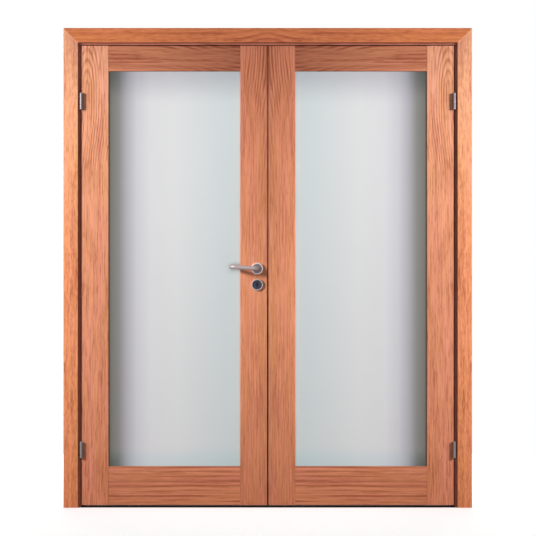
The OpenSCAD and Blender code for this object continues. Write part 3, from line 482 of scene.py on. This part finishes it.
FINISHES = {
    "frosted_glass": frosted_glass(),
    "glazing_rubber": moulded("glazing_rubber", (0.16, 0.15, 0.14), 0.6),
    "seal_rubber": moulded("seal_rubber", (0.045, 0.008, 0.005), 0.6),
    # The meeting seal's upper half is painted light brown, for the lit top of the gap between the leaves
    "meeting_rubber": moulded("meeting_rubber", (0.045, 0.008, 0.005), 0.6, head=(0.86, 0.40, 0.25)),
    "hinge_steel": metal("hinge_steel", (0.20, 0.172, 0.177), 0.5, (900.0, 900.0, 40.0)),
    "satin_stainless": metal("satin_stainless", (0.41, 0.345, 0.34), 0.66, (60.0, 1200.0, 1200.0)),
    # The rose's dark face and pale rim are painted reflection
    "rose_painted_reflection": metal("rose_painted_reflection", (0.20, 0.165, 0.19), 0.6, (60.0, 1200.0, 1200.0),
                        rim=("front_rose", (0.58, 0.51, 0.52))),
    "dark_steel": metal("dark_steel", (0.04, 0.04, 0.066), 0.42, (400.0, 400.0, 400.0), metallic=0.5),
    "lock_steel": metal("lock_steel", (0.50, 0.49, 0.48), 0.32, (900.0, 900.0, 60.0)),
    "screw_steel": metal("screw_steel", (0.52, 0.49, 0.43), 0.30, (500.0, 500.0, 500.0)),
    "nylon": moulded("nylon", (0.03, 0.03, 0.03), 0.5),
    # The threshold's near-black is partly its dark finish and partly painted shade of the gap under the
    # leaves
    "dark_threshold": moulded("dark_threshold", (0.020, 0.011, 0.010), 0.6),
}


# Smooth shading with sharp edges, as a modifier, so that the solids' own meshes stay as they are

SHARP_EDGE_DEG = 30.0
WELD_DISTANCE = 1e-6
SEAL_FILLING = 0.00049


def smooth_by_angle(limit_deg):
    group = bpy.data.node_groups.new("smooth_by_angle", "GeometryNodeTree")
    group.interface.new_socket("Geometry", in_out="INPUT", socket_type="NodeSocketGeometry")
    group.interface.new_socket("Geometry", in_out="OUTPUT", socket_type="NodeSocketGeometry")
    source = group.nodes.new("NodeGroupInput")
    result = group.nodes.new("NodeGroupOutput")
    faces = group.nodes.new("GeometryNodeSetShadeSmooth")
    edges = group.nodes.new("GeometryNodeSetShadeSmooth")
    edges.domain = "EDGE"
    edges.inputs["Shade Smooth"].default_value = False
    angle = group.nodes.new("GeometryNodeInputMeshEdgeAngle")
    sharp = group.nodes.new("FunctionNodeCompare")
    sharp.operation = "GREATER_THAN"
    sharp.inputs["B"].default_value = math.radians(limit_deg)
    group.links.new(source.outputs[0], faces.inputs["Geometry"])
    group.links.new(faces.outputs[0], edges.inputs["Geometry"])
    group.links.new(angle.outputs["Unsigned Angle"], sharp.inputs["A"])
    group.links.new(sharp.outputs[0], edges.inputs["Selection"])
    group.links.new(edges.outputs[0], result.inputs[0])
    return group


SMOOTHING = smooth_by_angle(SHARP_EDGE_DEG)
OWN_FINISHES = {"front_rose": "rose_painted_reflection", "back_rose": "rose_painted_reflection", "meeting_seal": "meeting_rubber"}
SLOTS = {part["node"]: part["material_slot"] for part in frame["record"]["subparts"]}
for name, piece in nodes.items():
    kind = name.removeprefix("left_").removeprefix("right_")
    piece.data.materials.clear()
    finish = OWN_FINISHES.get(name, SLOTS[name])
    piece.data.materials.append(WOODS.get(kind) or FINISHES[finish])
    piece.modifiers.new("weld", "WELD").merge_threshold = WELD_DISTANCE
    piece.modifiers.new("smooth", "NODES").node_group = SMOOTHING

# The rubber fin between the leaves fills the gap that the solid leaves as clearance
filling = nodes["meeting_seal"].modifiers.new("filling", "SOLIDIFY")
filling.thickness = SEAL_FILLING
filling.offset = 1.0
filling.use_even_offset = True


# Studio

FLOOR_GREY = (0.93, 0.93, 0.93)


def any_ray(tree, kinds=("Is Camera Ray", "Is Glossy Ray", "Is Transmission Ray")):
    """1 where the camera sees a surface, straight, mirrored or through glass."""
    rays = tree.nodes.new("ShaderNodeLightPath")
    seen = rays.outputs[kinds[0]]
    for kind in kinds[1:]:
        either = tree.nodes.new("ShaderNodeMath")
        either.operation = "MAXIMUM"
        tree.links.new(seen, either.inputs[0])
        tree.links.new(rays.outputs[kind], either.inputs[1])
        seen = either.outputs[0]
    return seen


def white_floor(half_width, glow):
    """Pale floor that shows white to the camera where it is lit, and keeps its shadows."""
    s = Shader("floor")
    s.set(Base_Color=FLOOR_GREY, Roughness=0.9, Specular_IOR_Level=0.1, Emission_Color=WHITE,
          Emission_Strength=s.scaled(any_ray(s.tree), glow))
    mesh = bpy.data.meshes.new("floor")
    corners = [(sx * half_width, sy * half_width, 0.0) for sx, sy in ((-1, -1), (1, -1), (1, 1), (-1, 1))]
    mesh.from_pydata(corners, [], [(0, 1, 2, 3)])
    mesh.materials.append(s.material)
    plane = bpy.data.objects.new("floor", mesh)
    bpy.context.scene.collection.objects.link(plane)
    return plane


def white_world(ambient):
    """White to the camera, to mirrors and through glass, and a soft grey light from all round."""
    world = bpy.data.worlds.new("studio")
    bpy.context.scene.world = world
    world.use_nodes = True
    tree = world.node_tree
    strength = tree.nodes.new("ShaderNodeMapRange")
    strength.inputs["To Min"].default_value = ambient
    strength.inputs["To Max"].default_value = 1.0
    tree.links.new(any_ray(tree), strength.inputs["Value"])
    background = tree.nodes["Background"]
    background.inputs["Color"].default_value = (1.0, 1.0, 1.0, 1.0)
    tree.links.new(strength.outputs[0], background.inputs["Strength"])


def lamp(name, kind, place, target, watts, **settings):
    data = bpy.data.lights.new(name, kind)
    data.energy = watts
    for key, value in settings.items():
        setattr(data, key, value)
    made = bpy.data.objects.new(name, data)
    made.location = place
    made.rotation_euler = (Vector(target) - made.location).to_track_quat("-Z", "Y").to_euler()
    bpy.context.scene.collection.objects.link(made)
    return made


LEAF_BODIES = {"left": {"left_leaf", "lever", "latch", "deadbolt"},
               "right": {"right_leaf", "upper_bolt", "lower_bolt"}}
BODIES = frame["record"]["behaviour"]["bodies"]
BODY_OF = {node: body for body, members in BODIES.items() for node in members}
PANES = ["left_glass", "right_glass"]

# Side lamps, in metres from the middle of the doors, from the leaves' front and from the floor
KEY_ASIDE = 4.2
KEY_AHEAD = 2.6
KEY_HEIGHT = 2.65
KEY_AIM_ASIDE = 0.25
KEY_AIM_HEIGHT = 1.05
KEY_WATTS = 1430.0
KEY_CONE_DEG = 42.0
KEY_SOFT_SIZE = 0.6

# Soft panels
PANEL = {"shape": "RECTANGLE", "size": 4.0, "size_y": 3.0}
CEILING = {"shape": "RECTANGLE", "size": 6.0, "size_y": 6.0}
DOOR_MIDDLE = (0.0, 0.0, 1.1)


def light_only(made, names):
    """Keeps a lamp's light to the named pieces."""
    lit = bpy.data.collections.new(f"{made.name}_lit")
    for name in names:
        lit.objects.link(nodes[name])
    made.light_linking.receiver_collection = lit


def side_lamp(side):
    """A spot low over one leaf's face, from the hinge side; it leaves the glass and the other leaf dark."""
    sign, other = (-1.0, "right") if side == "left" else (1.0, "left")
    made = lamp(f"{side}_key", "SPOT", (sign * KEY_ASIDE, LEAF_FRONT - KEY_AHEAD, KEY_HEIGHT),
                (sign * KEY_AIM_ASIDE, LEAF_FRONT, KEY_AIM_HEIGHT), watts=KEY_WATTS,
                spot_size=math.radians(KEY_CONE_DEG), spot_blend=1.0, shadow_soft_size=KEY_SOFT_SIZE)
    light_only(made, [name for name in nodes if name not in PANES and not name.startswith(other + "_")
                      and BODY_OF[name] not in LEAF_BODIES[other]])


white_floor(half_width=4.0, glow=0.68)
white_world(ambient=0.08)
side_lamp("left")
side_lamp("right")
light_only(lamp("glass_light", "AREA", (0.0, -5.0, 1.1), DOOR_MIDDLE, watts=235.0, **PANEL), PANES)
lamp("front_fill", "AREA", (0.0, -5.0, 2.0), DOOR_MIDDLE, watts=10.0, **PANEL)
lamp("back_fill", "AREA", (0.0, 5.0, 2.8), DOOR_MIDDLE, watts=190.0, **PANEL)
lamp("overhead", "AREA", (0.0, 0.0, 6.0), (0.0, 0.001, 0.0), watts=70.0, **CEILING)

# Camera: straight at the doors, on the photograph's scale and centre
picture_width = PHOTO_PX * MM_PER_PX / 1000.0
camera_data = bpy.data.cameras.new("camera")
camera_data.sensor_width = SENSOR_MM
camera_data.lens = SENSOR_MM * CAMERA_DISTANCE / picture_width
camera_data.clip_end = 100.0
camera = bpy.data.objects.new("camera", camera_data)
camera.location = ((PHOTO_PX / 2 - MIDDLE_PX) * MM_PER_PX / 1000.0,
                   LEAF_FRONT - CAMERA_DISTANCE,
                   (FLOOR_PX - PHOTO_PX / 2) * MM_PER_PX / 1000.0)
camera.rotation_euler = (math.radians(90.0), 0.0, 0.0)
bpy.context.scene.collection.objects.link(camera)
bpy.context.scene.camera = camera
bpy.context.scene.view_settings.view_transform = "Standard"
